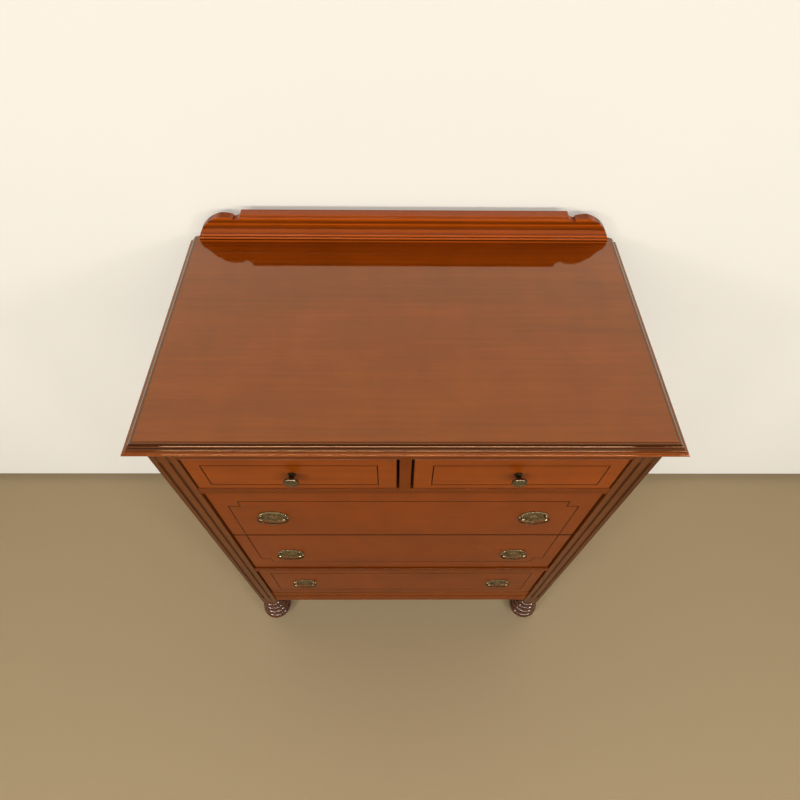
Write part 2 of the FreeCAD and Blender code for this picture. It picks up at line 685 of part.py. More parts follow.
def make_bail(x, face, z):
    """Hanging bail: two arms and a bowed grip of square bar, with pins that turn in the bolts."""
    half = (BOLT_SPREAD + EYE_WIDTH) / 2 + BAIL_CLEAR
    outer = half + BAIL_WIDTH
    back = face - PIVOT_REACH + BAIL_WIDTH / 2
    section = outline(
        lambda u, v: Vector(x + u, back, z + v),
        (-outer, BAIL_HEAD),
        (-outer, -BAIL_ARM),
        ((0, -BAIL_DROP - BAIL_WIDTH), (outer, -BAIL_ARM)),
        (outer, BAIL_HEAD),
        (half, BAIL_HEAD),
        (half, -BAIL_ARM),
        ((0, -BAIL_DROP), (-half, -BAIL_ARM)),
        (-half, BAIL_HEAD),
    )
    bail = Part.Face(section).extrude(Vector(0, -BAIL_WIDTH, 0))
    for side in (-1, 1):
        start = Vector(x + side * half, face - PIVOT_REACH, z)
        pin = Part.makeCylinder(BAIL_PIN_RADIUS, BAIL_CLEAR + EYE_WIDTH, start, Vector(-side, 0, 0))
        bail = bail.fuse(pin)
    return bail


def make_knob(x, face, z):
    """Turned knob with a round neck and a broad flat head, and its shank and nut."""
    forward = Vector(0, -1, 0)
    neck = Part.makeCylinder(KNOB_NECK_RADIUS, KNOB_REACH, Vector(x, face, z), forward)
    head_back = Vector(x, face - KNOB_REACH + KNOB_HEAD_DEPTH, z)
    head = Part.makeCylinder(KNOB_RADIUS, KNOB_HEAD_DEPTH, head_back, forward)
    return neck.fuse([head, make_shank(x, face, z)]).removeSplitter()


nodes = {}

# Case: rails and the frames behind them
upper_rail = make_flat_rail(UPPER_RAIL_FOOT, UPPER_RAIL_TOP)
lower_rail = make_flat_rail(LOWER_RAIL_FOOT, LOWER_RAIL_TOP)
lap_rail = make_lap_rail()
top_rail = make_top_rail()
bottom_rail = make_bottom_rail()
divider = make_divider()
side_panel = make_side_panel()
back_panel = make_back_panel()
frames = (
    (BOTTOM_RAIL_TOP, APRON_BACK),
    (LOWER_RAIL_TOP, RAIL_BACK),
    (LAP_RAIL_TOP, LAP_RAIL_BACK),
    (UPPER_RAIL_TOP, RAIL_BACK),
)
rear_rails = [make_rear_rail(top - RUNNER_THICKNESS, top) for top, _ in frames]
rear_rails.append(make_rear_rail(TOP_RAIL_FOOT, TOP_UNDERSIDE))
dust_panels = [make_dust_panel(top, front, -RUNNER_INNER, RUNNER_INNER) for top, front in frames[1:3]]
dust_panels.append(make_dust_panel(UPPER_RAIL_TOP, RAIL_BACK, CENTRE_RUNNER_HALF, RUNNER_INNER))
dust_panels.append(mirrored(dust_panels[-1]))

# Posts take the mortises, grooves and rebates of what meets them
leg_x = CASE_HALF - POST_SIZE / 2
leg_front = CASE_FRONT + POST_SIZE / 2
leg_rear = CASE_BACK - POST_SIZE / 2
front_joints = [upper_rail, lower_rail, lap_rail, top_rail, bottom_rail, side_panel]
front_post = make_front_post().cut(front_joints + [peg(leg_x, leg_front, PEG_CLEAR)])
rear_joints = rear_rails + [side_panel, back_panel]
rear_post = make_rear_post().cut(rear_joints + [peg(leg_x, leg_rear, PEG_CLEAR)])
nodes["front_right_post"] = front_post
nodes["front_left_post"] = mirrored(front_post)
nodes["rear_right_post"] = rear_post
nodes["rear_left_post"] = mirrored(rear_post)
for row, y in (("front", leg_front), ("rear", leg_rear)):
    nodes[f"{row}_legs"] = Part.makeCompound([make_leg(-leg_x, y), make_leg(leg_x, y)])

nodes["upper_rail"] = upper_rail.cut(dust_panels + [divider])
nodes["lower_rail"] = lower_rail.cut(dust_panels)
nodes["middle_rail"] = lap_rail.cut(dust_panels)
nodes["top_rail"] = top_rail.cut(divider)
nodes["bottom_rail"] = bottom_rail
nodes["centre_divider"] = divider
nodes["right_side_panel"] = side_panel
nodes["left_side_panel"] = mirrored(side_panel)
nodes["back_panel"] = back_panel
nodes["rear_rails"] = Part.makeCompound([rail.cut(dust_panels) for rail in rear_rails])
nodes["dust_panels"] = Part.makeCompound(dust_panels)

runners = [make_centre_runner().cut(dust_panels)]
guides = [make_centre_guide()]
for top, front in frames:
    runner = make_runner(top, front).cut([front_post, rear_post] + dust_panels)
    guide = make_guide(top, front).cut([front_post, rear_post])
    runners += [runner, mirrored(runner)]
    guides += [guide, mirrored(guide)]
nodes["drawer_runners"] = Part.makeCompound(runners)
nodes["drawer_guides"] = Part.makeCompound(guides)

side_cleat = make_cleat(RUNNER_INNER, PANEL_INNER).cut([front_post, rear_post])
cleats = [side_cleat, mirrored(side_cleat), make_cleat(-CENTRE_RUNNER_HALF, CENTRE_RUNNER_HALF)]
nodes["top_cleats"] = Part.makeCompound(cleats)
nodes["gallery"] = make_gallery()
nodes["top"] = make_top().cut(nodes["gallery"])

# Drawers: the foot and head of each front, the runner below it and the frame above it
small = (SMALL_FACE, SMALL_FRONT_FOOT, SMALL_FRONT_HEAD, UPPER_RAIL_TOP, TOP_RAIL_FOOT)
under_upper = min(UPPER_RAIL_FOOT, UPPER_RAIL_TOP - RUNNER_THICKNESS)
under_lap = min(LAP_RAIL_FOOT, LAP_RAIL_TOP - RUNNER_THICKNESS)
under_lower = min(LOWER_RAIL_FOOT, LOWER_RAIL_TOP - RUNNER_THICKNESS)
long_spans = {
    "upper": (UPPER_FRONT_FOOT, UPPER_FRONT_HEAD, LAP_RAIL_TOP, under_upper),
    "middle": (MIDDLE_FRONT_FOOT, MIDDLE_FRONT_HEAD, LOWER_RAIL_TOP, under_lap),
    "bottom": (BOTTOM_FRONT_FOOT, BOTTOM_FRONT_HEAD, BOTTOM_RAIL_TOP, under_lower),
}
drawers = {
    "left_small_drawer": make_drawer(-DRAWER_HALF, -SMALL_INNER, *small),
    "right_small_drawer": make_drawer(SMALL_INNER, DRAWER_HALF, *small),
}
for level, span in long_spans.items():
    drawers[f"{level}_drawer"] = make_drawer(-DRAWER_HALF, DRAWER_HALF, LONG_FACE, *span)

# Knobs on the small drawers, bail pulls on the long ones
knob_height = (SMALL_FRONT_FOOT + SMALL_FRONT_HEAD) / 2
for side, x in (("left", -KNOB_PLACE), ("right", KNOB_PLACE)):
    drawer = drawers[f"{side}_small_drawer"]
    drawer["front"] = drawer["front"].cut(shank_hole(x, SMALL_FACE, knob_height))
    nodes[f"{side}_knob"] = make_knob(x, SMALL_FACE, knob_height)
for level, (foot, head, _, _) in long_spans.items():
    height = (foot + head) / 2 - PULL_FALL
    drawer = drawers[f"{level}_drawer"]
    plates = []
    bolts = []
    for side, x in (("left", -PULL_PLACE), ("right", PULL_PLACE)):
        plates.append(make_backplate(x, LONG_FACE, height))
        for bolt_x in (x - BOLT_SPREAD / 2, x + BOLT_SPREAD / 2):
            spot = (bolt_x, LONG_FACE, height + PIVOT_RISE)
            bolts.append(make_bolt(*spot))
            drawer["front"] = drawer["front"].cut(shank_hole(*spot))
        nodes[f"{level}_{side}_bail"] = make_bail(x, LONG_FACE, height + PIVOT_RISE)
    nodes[f"{level}_drawer_backplates"] = Part.makeCompound(plates)
    nodes[f"{level}_drawer_pull_bolts"] = Part.makeCompound(bolts)
for name, pieces in drawers.items():
    for piece, shape in pieces.items():
        nodes[f"{name}_{piece}"] = shape

# Stops on the runners behind the drawer sides
centre_stop = make_stop(CENTRE_GUIDE_HALF, CENTRE_RUNNER_HALF, UPPER_RAIL_TOP)
stops = [centre_stop, mirrored(centre_stop)]
for top, _ in frames:
    stop = make_stop(RUNNER_INNER, POST_INNER, top)
    stops += [stop, mirrored(stop)]
nodes["drawer_stops"] = Part.makeCompound(stops)

os.makedirs("parts", exist_ok=True)
for name, shape in nodes.items():
    shape.exportStep(f"parts/{name}.step")
print(len(nodes), "pieces written")
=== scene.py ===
import math

import bmesh
import bpy
from bpy.props import FloatProperty, FloatVectorProperty, IntProperty, PointerProperty
from mathutils import Matrix, Vector


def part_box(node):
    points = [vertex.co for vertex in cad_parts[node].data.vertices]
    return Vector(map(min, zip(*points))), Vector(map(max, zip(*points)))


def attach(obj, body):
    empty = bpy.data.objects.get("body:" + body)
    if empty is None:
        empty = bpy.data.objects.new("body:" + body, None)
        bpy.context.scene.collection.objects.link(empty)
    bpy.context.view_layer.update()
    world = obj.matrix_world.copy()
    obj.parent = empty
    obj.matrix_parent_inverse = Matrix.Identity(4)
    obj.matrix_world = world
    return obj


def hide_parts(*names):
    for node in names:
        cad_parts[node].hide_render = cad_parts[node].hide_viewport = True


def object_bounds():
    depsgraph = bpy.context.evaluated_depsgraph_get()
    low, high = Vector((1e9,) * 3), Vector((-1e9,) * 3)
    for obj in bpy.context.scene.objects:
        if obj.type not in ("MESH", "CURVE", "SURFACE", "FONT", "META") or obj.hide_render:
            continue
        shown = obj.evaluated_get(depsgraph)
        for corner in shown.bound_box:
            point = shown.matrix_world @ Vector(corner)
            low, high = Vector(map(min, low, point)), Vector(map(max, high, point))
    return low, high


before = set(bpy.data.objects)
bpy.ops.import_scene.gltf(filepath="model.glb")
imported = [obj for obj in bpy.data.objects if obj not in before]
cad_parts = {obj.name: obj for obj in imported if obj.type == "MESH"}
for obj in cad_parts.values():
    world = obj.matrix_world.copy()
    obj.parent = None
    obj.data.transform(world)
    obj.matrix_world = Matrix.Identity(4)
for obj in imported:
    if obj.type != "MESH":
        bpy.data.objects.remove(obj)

bl_info = {
    "name": "Chest of drawers",
    "version": (1, 0, 0),
    "blender": (4, 5, 0),
    "location": "3D View > Sidebar > Chest",
    "description": "Dresses the solids of a chest of drawers with its finishes, turnings and brasses",
    "category": "Object",
}

CAD_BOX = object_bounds()
IMAGE_SIDE = 800
SENSOR_WIDTH = 36.0
MM = 0.001
QUARTER_TURN = math.pi / 2
LONG_DRAWERS = ("upper", "middle", "bottom")
SIDES = ("left", "right")
DEPTHWISE = ("_sides", "_runners", "_guides", "_cleats", "_stops")

# Layers of figure in wood: waves in a metre along and across the grain, detail and distortion
FIGURE = (1.6, 13.0, 3.0, 0.6)
STREAKS = (4.0, 130.0, 5.0, 0.0)
MOTTLE = (16.0, 9.0, 2.0, 0.4)
PORES = (60.0, 1400.0, 2.0, 0.0)

# How much each layer counts in the tone of the wood, and which part of its noise is used
FIGURE_WEIGHT, STREAK_WEIGHT, MOTTLE_WEIGHT = 0.35, 0.35, 0.3
TONE_SPAN = (0.34, 0.66)
PORE_SPAN = (0.60, 0.72)
STREAK_SPAN = (0.3, 0.7)

# Shades of the figure and pores, of the painted shade (with some old finish) and of the painted highlights,
# as shares of the wood's colour
DARK_GRAIN, LIGHT_GRAIN = 0.78, 1.2
PORE_SHADE, PORE_STRENGTH = 0.4, 0.3
HOLLOW_SHADE = 0.14
CREST_SHADE = 1.9

# Polish on wood: roughness where the streaks are dark and light, and gloss under the coat
COATED_ROUGHNESS, COATED_GLOSS = (0.34, 0.44), 0.06
BARE_ROUGHNESS, BARE_GLOSS = (0.55, 0.7), 0.3
COAT_ROUGHNESS = 0.05
# Coat weight where highlights are painted
CREST_COAT = 0.9
PLAIN_GLOSS = 0.05
PORE_BUMP, PORE_DEPTH = 0.06, 0.2 * MM

# Painted bands stop between these distances from a piece's back
BACK_SPAN = (2 * MM, 1 * MM)

# Wear on brass: its noise, how much height and noise count in it, and the part of their sum that is used
WEAR_SCALE, WEAR_DETAIL = 300.0, 3.0
HEIGHT_WEIGHT, WEAR_WEIGHT, WEAR_LOSS = 0.7, 1.6, 0.7
WEAR_SPAN = (0.15, 0.85)
DARK_ROUGHNESS, BRIGHT_ROUGHNESS = 0.52, 0.24


def srgb(red, green, blue):
    """Scene colour of a colour given as it looks on a screen, 0 to 255."""
    shares = [value / 255 for value in (red, green, blue)]
    return tuple(v / 12.92 if v <= 0.04045 else ((v + 0.055) / 1.055) ** 2.4 for v in shares)


def length(name, description, millimetres):
    """A size that a user can change, in metres."""
    return FloatProperty(
        name=name, description=description, default=millimetres * MM, min=0.0, precision=5, unit="LENGTH"
    )


def count(name, description, default):
    """A number of like pieces that a user can change."""
    return IntProperty(name=name, description=description, default=default, min=2)


def colour(name, description, red, green, blue):
    """A colour that a user can change."""
    shade = srgb(red, green, blue)
    return FloatVectorProperty(
        name=name, description=description, subtype="COLOR", min=0, max=1, default=shade
    )


def spot(name, description, *place):
    """A place that a user can change, in metres."""
    return FloatVectorProperty(name=name, description=description, default=place, unit="LENGTH")


def angle(name, description, degrees):
    """An angle that a user can change."""
    return FloatProperty(
        name=name, description=description, default=math.radians(degrees), unit="ROTATION"
    )


def power(name, description, watts):
    """The power of a lamp, which a user can change."""
    return FloatProperty(name=name, description=description, default=watts, min=0.0, unit="POWER")


def strength(name, description, default):
    """A share or strength of light that a user can change."""
    return FloatProperty(name=name, description=description, default=default, min=0.0)


class ChestSizes(bpy.types.PropertyGroup):
    """Sizes of the turnings, brasses and stringing."""

    ring_count: count("Rings", "Rings on a leg", 5)
    first_ring: length("First ring", "Radius of a leg's highest ring", 25.0)
    ring_groove: length("Ring groove", "Depth of the grooves between a leg's rings", 6.0)
    leg_head: length("Leg head", "Radius of a leg where it meets its post", 21.0)
    leg_pad: length("Leg pad", "Radius of the pad under a leg", 30.0)
    pad_height: length("Pad height", "Height of the pad under a leg", 12.0)
    bead: length("Bead", "Radius of a bead on the rim of a backplate", 1.5)
    bead_count: count("Beads", "Beads round a backplate", 34)
    flute_count: count("Flutes", "Flutes round a backplate", 24)
    ball: length("Ball", "Radius of the ball on a pull's bolt", 3.5)
    nut: length("Nut", "Side of a square nut", 9.0)
    nut_depth: length("Nut depth", "Thickness of a square nut", 4.0)
    wire: length("Wire", "Radius of a bail's wire", 1.6)
    line: length("Line", "Width of the stringing", 1.8)
    line_proud: length("Line proud", "How far the stringing stands off the veneer", 0.12)
    small_outer: length("Small outer", "From a small drawer's outer end to its stringing", 25.5)
    small_inner: length("Small inner", "From a small drawer's inner end to its stringing", 31.5)
    small_head: length("Small head", "From a small drawer's head to its stringing", 21.5)
    small_foot: length("Small foot", "From a small drawer's foot to its stringing", 13.0)
    long_end: length("Long end", "From a long drawer's end to its stringing", 28.0)
    upper_edge: length("Upper edge", "From the upper drawer's head to its stringing", 38.0)
    middle_edge: length("Middle edge", "From the middle drawer's foot to its stringing", 42.0)
    bottom_edge: length("Bottom edge", "From the bottom drawer's edges to its stringing", 26.0)
    notch: length("Notch", "Side of the square notch in the corners of the stringing", 23.0)


class ChestFinishes(bpy.types.PropertyGroup):
    """Colours of the woods and metals."""

    case_wood: colour("Case wood", "Posts and sides", 94, 46, 12)
    top_wood: colour("Top wood", "Top board", 126, 55, 1)
    rail_wood: colour("Rail wood", "Rails between the drawers", 102, 45, 5)
    apron_wood: colour("Apron wood", "Rail under the bottom drawer", 120, 53, 2)
    small_front_wood: colour("Small front wood", "Fronts of the small drawers", 127, 57, 6)
    gallery_wood: colour("Gallery wood", "Gallery along the back", 142, 62, 6)
    front_wood: colour("Front wood", "Fronts of the long drawers", 117, 51, 5)
    inner_wood: colour("Inner wood", "Drawer boxes and frames", 176, 138, 92)
    stringing: colour("Stringing", "Dark lines in the drawer fronts", 16, 4, 1)
    leg_wood: colour("Leg wood", "Turned legs", 76, 26, 1)
    brass: colour("Brass", "Worn brass", 196, 178, 140)
    tarnish: colour("Tarnish", "Brass gone dark", 66, 52, 35)


class ChestStage(bpy.types.PropertyGroup):
    """Camera, lamps, floor and wall."""

    floor: colour("Floor", "Colour of the floor", 170, 152, 122)
    wall: colour("Wall", "Colour of the wall", 244, 240, 230)
    wall_own: strength("Wall's own light", "Share of the wall seen unshaded", 0.45)
    wall_gap: length("Wall gap", "From the back of the chest to the wall", 21.4)
    sky: strength("Room light", "Strength of the light from the sides", 0.4)
    ceiling: strength("Ceiling", "Strength of the light from overhead", 0.06)
    lamp: power("Lamps", "Power of each soft lamp", 22.0)
    lamp_side: length("Lamp side", "Side of each square lamp", 450.0)
    lamp_place: spot("Lamp place", "Place of the right lamp, which the left one mirrors", 1.7, -1.9, 1.9)
    lamp_aim: spot("Lamp aim", "Place that the lamps point at", 0.0, 0.0, 0.6)
    long_lamp: power("Long lamp", "Power of the long lamp", 46.0)
    long_lamp_width: length("Long lamp width", "Width of the long lamp", 3000.0)
    long_lamp_depth: length("Long lamp depth", "Depth of the long lamp", 150.0)
    long_lamp_place: spot("Long lamp place", "Place of the long lamp", 0.0, -2.6, 2.2)
    camera_place: spot("Camera", "Place of the camera", -0.0173, -0.6314, 1.7933)
    pitch: angle("Pitch", "Camera's dip", 55.624)
    yaw: angle("Yaw", "Camera's turn", -0.911)
    roll: angle("Roll", "Camera's lean", -0.849)
    focal: FloatProperty(
        name="Focal length", description="Focal length in image pixels", default=537.26, min=1.0
    )


class Socket:
    """One output in a material's node tree; arithmetic on it adds Math nodes."""

    def __init__(self, tree, source=None):
        self.tree = tree
        self.source = source

    def node(self, kind, settings=None, inputs=None, output=0):
        """Add a node, set it up, feed its sockets and give one of its outputs."""
        made = self.tree.nodes.new(kind)
        for name, value in (settings or {}).items():
            if name == "stops":
                for number, (place, shade) in enumerate(value):
                    stops = made.color_ramp.elements
                    stop = stops[number] if number < 2 else stops.new(place)
                    stop.position = place
                    stop.color = (*shade, 1)
            else:
                setattr(made, name, value)
        for name, value in (inputs or {}).items():
            if isinstance(value, Socket):
                self.tree.links.new(value.source, made.inputs[name])
            else:
                made.inputs[name].default_value = value
        return Socket(self.tree, made.outputs[output] if made.outputs else None)

    def math(self, operation, left, right=0.0):
        """Add a Math node."""
        return self.node("ShaderNodeMath", {"operation": operation}, {0: left, 1: right})

    def __add__(self, other):
        return self.math("ADD", self, other)

    def __sub__(self, other):
        return self.math("SUBTRACT", self, other)

    def __mul__(self, other):
        return self.math("MULTIPLY", self, other)

    def __rsub__(self, other):
        return self.math("SUBTRACT", other, self)

    __radd__ = __add__
    __rmul__ = __mul__

    def blend(self, first, second):
        """Colour between two others, by this value."""
        settings = {"data_type": "RGBA", "clamp_factor": True}
        return self.node("ShaderNodeMix", settings, {0: self, 6: first, 7: second}, 2)

    def span(self, low, high, start=0.0, end=1.0):
        """This value stretched from one range to another, and held at its ends."""
        inputs = {"Value": self, "From Min": low, "From Max": high, "To Min": start, "To Max": end}
        return self.node("ShaderNodeMapRange", None, inputs)

    def place(self):
        """Place on the piece."""
        return self.node("ShaderNodeTexCoord", output="Object")

    def along(self, axis):
        """One part, X, Y or Z, of this place."""
        return self.node("ShaderNodeSeparateXYZ", None, {"Vector": self}, axis)


def new_material(name):
    """An empty node material and the socket that starts its expressions."""
    material = bpy.data.materials.new(name)
    material.use_nodes = True
    material.node_tree.nodes.clear()
    return material, Socket(material.node_tree)


def surface(start, **inputs):
    """Principled shader into the material's output; names are its sockets' with underscores."""
    named = {name.replace("_", " "): value for name, value in inputs.items()}
    shader = start.node("ShaderNodeBsdfPrincipled", None, named, "BSDF")
    start.node("ShaderNodeOutputMaterial", None, {"Surface": shader})


def plain(name, shade, roughness):
    """One colour all over."""
    material, start = new_material(name)
    surface(start, Base_Color=(*shade, 1), Roughness=roughness, Specular_IOR_Level=PLAIN_GLOSS)
    return material


def shaded(shade, share):
    """A colour made lighter or darker, as a node takes it."""
    return (*(min(1.0, value * share) for value in shade), 1)


def grain(start, axis, along, across, detail, distortion):
    """Noise drawn out along one axis, as wood fibres are."""
    scale = [across] * 3
    scale[axis] = along
    stretched = start.node("ShaderNodeMapping", None, {"Vector": start.place(), "Scale": scale})
    inputs = {"Vector": stretched, "Scale": 1.0, "Detail": detail, "Distortion": distortion}
    return start.node("ShaderNodeTexNoise", None, inputs)


def gathered(start, bands, back):
    """How strong painted bands given by axis, middle, reach and strength are; none is on a piece's plain
    back.
    """
    place = start.place()
    total = 0.0
    for axis, centre, reach, strongest in bands:
        away = start.math("ABSOLUTE", place.along(axis) - centre)
        total = away.span(0.0, reach, strongest, 0.0) + total
    fade = (back - gap for gap in BACK_SPAN)
    return total * place.along("Y").span(*fade, 1.0, 0.0)


def wood(name, shade, axis, coat, hollows=(), crests=(), back=0.0, polish=()):
    """Straight-grained wood: broad figure, fine streaks and short dark pores, with painted shade and painted
    highlights in given bands; uncoated if coat is 0.
    """
    material, start = new_material(name)
    figure = grain(start, axis, *FIGURE)
    streak = grain(start, axis, *STREAKS)
    mottle = grain(start, axis, *MOTTLE)
    pores = grain(start, axis, *PORES).span(*PORE_SPAN)
    tone = (figure * FIGURE_WEIGHT + streak * STREAK_WEIGHT + mottle * MOTTLE_WEIGHT).span(*TONE_SPAN)
    tones = ((0.0, DARK_GRAIN), (1.0, LIGHT_GRAIN), (0.5, 1.0))
    stops = [(place, shaded(shade, share)[:3]) for place, share in tones]
    body = start.node("ShaderNodeValToRGB", {"stops": stops}, {"Fac": tone})
    body = (pores * PORE_STRENGTH).blend(body, shaded(shade, PORE_SHADE))
    # Painted shade, with some old finish, darkens the bands given
    if hollows:
        body = gathered(start, hollows, back).blend(body, shaded(shade, HOLLOW_SHADE))
    # Painted highlights lighten the bands given and add to the coat there
    if crests:
        rubbed = gathered(start, crests, back)
        body = rubbed.blend(body, shaded(shade, CREST_SHADE))
        coat = rubbed.span(0.0, 1.0, coat, CREST_COAT)
    relief = {"Strength": PORE_BUMP, "Distance": PORE_DEPTH, "Height": 1 - pores}
    finish = {"Base_Color": body, "Normal": start.node("ShaderNodeBump", None, relief, "Normal")}
    if coat:
        finish.update(Specular_IOR_Level=COATED_GLOSS, Coat_Weight=coat, Coat_Roughness=COAT_ROUGHNESS)
    else:
        finish.update(Specular_IOR_Level=BARE_GLOSS)
    finish.update(polish)
    if "Roughness" not in finish:
        finish["Roughness"] = streak.span(*STREAK_SPAN, *(COATED_ROUGHNESS if coat else BARE_ROUGHNESS))
    surface(start, **finish)
    return material


def metal(name, finishes, wear, face, relief):
    """Brass gone dark in its recesses, down to its face; relief is how far its brightest parts stand off.

    The wear is the shares of the brass's and the tarnish's colours that this piece shows.
    """
    material, start = new_material(name)
    place = start.place()
    height = place.along("Y").span(face, face - relief)
    noise = {"Vector": place, "Scale": WEAR_SCALE, "Detail": WEAR_DETAIL}
    cloud = start.node("ShaderNodeTexNoise", None, noise)
    worn = (height * HEIGHT_WEIGHT + cloud * WEAR_WEIGHT - WEAR_LOSS).span(*WEAR_SPAN)
    bright, dark = wear
    surface(
        start,
        Base_Color=worn.blend(shaded(finishes.tarnish, dark), shaded(finishes.brass, bright)),
        Metallic=1.0,
        Roughness=worn.span(0.0, 1.0, DARK_ROUGHNESS, BRIGHT_ROUGHNESS),
    )
    return material


def deselect():
    """Leave nothing selected."""
    bpy.ops.object.select_all(action="DESELECT")


def take(piece):
    """Select one piece alone and make it active."""
    deselect()
    piece.select_set(True)
    bpy.context.view_layer.objects.active = piece


def begin(piece):
    """Open a piece in edit mode with all of it selected."""
    take(piece)
    bpy.ops.object.mode_set(mode="EDIT")
    bpy.ops.mesh.select_all(action="SELECT")


def pick(piece, kind, test):
    """Select only the faces or verts whose middle passes a test."""
    bpy.ops.mesh.select_all(action="DESELECT")
    bpy.ops.mesh.select_mode(type={"faces": "FACE", "verts": "VERT"}[kind])
    mesh = bmesh.from_edit_mesh(piece.data)
    for part in getattr(mesh, kind):
        points = [part.co] if kind == "verts" else [vert.co for vert in part.verts]
        part.select_set(test(sum(points, Vector()) / len(points)))
    bmesh.update_edit_mesh(piece.data)


def settle(piece):
    """Put a piece's place into its mesh."""
    take(piece)
    bpy.ops.object.transform_apply(location=True, rotation=True, scale=True)
    return piece


def end(piece, smooth_angle=40.0):
    """Close a piece: normals outwards, smooth but for sharp edges, its place put into its mesh."""
    bpy.ops.mesh.select_all(action="SELECT")
    bpy.ops.mesh.normals_make_consistent(inside=False)
    bpy.ops.object.mode_set(mode="OBJECT")
    settle(piece)
    bpy.ops.object.shade_smooth_by_angle(angle=math.radians(smooth_angle))
    return piece


def stand(piece, place, forward):
    """Put a piece modelled upright at a place, turned to face the front of the chest if asked."""
    piece.rotation_euler = (QUARTER_TURN if forward else 0.0, 0.0, 0.0)
    piece.location = place
    return settle(piece)


def copy(piece, name):
    """A copy of a piece with its own mesh."""
    take(piece)
    bpy.ops.object.duplicate()
    made = bpy.context.object
    made.name = name
    return made


def joined(pieces, name):
    """Several meshes as one piece."""
    take(pieces[0])
    for piece in pieces:
        piece.select_set(True)
    bpy.ops.object.join()
    pieces[0].name = name
    return pieces[0]


def discard(piece):
    """Take away a pattern that pieces were copied from."""
    bpy.data.objects.remove(piece)


def dress(piece, body, slot, material, *nodes):
    """Give a finished piece its material and body, and let it stand for solids; the slot is not used."""
    piece.data.materials.clear()
    piece.data.materials.append(material)
    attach(piece, body)
    if nodes:
        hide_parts(*nodes)


def turned(name, profile, segments):
    """Turning about the upright axis: a disc drawn up through radius and height pairs."""
    radius, height = profile[0]
    deselect()
    bpy.ops.mesh.primitive_circle_add(
        vertices=segments, radius=radius, fill_type="NGON", location=(0, 0, height)
    )
    piece = bpy.context.object
    piece.name = name
    begin(piece)
    for wider, above in profile[1:]:
        step = {"value": (0, 0, above - height)}
        bpy.ops.mesh.extrude_region_move(TRANSFORM_OT_translate=step)
        share = wider / radius
        bpy.ops.transform.resize(value=(share, share, 1), center_override=(0, 0, above))
        radius, height = wider, above
    return end(piece)


def nut(sizes, place):
    """Square nut with eased edges, standing out from a place towards the back."""
    width, depth = sizes.nut, sizes.nut_depth
    eased = width * 0.06
    deselect()
    bpy.ops.mesh.primitive_cube_add(size=width, location=Vector(place) + Vector((0, depth / 2, 0)))
    piece = bpy.context.object
    begin(piece)
    bpy.ops.transform.resize(value=(1, depth / width, 1), center_override=piece.location)
    bpy.ops.mesh.bevel(offset=eased, segments=2, affect="EDGES")
    return end(piece)


def middle(node):
    """Middle of a solid's box."""
    low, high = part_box(node)
    return (low + high) / 2


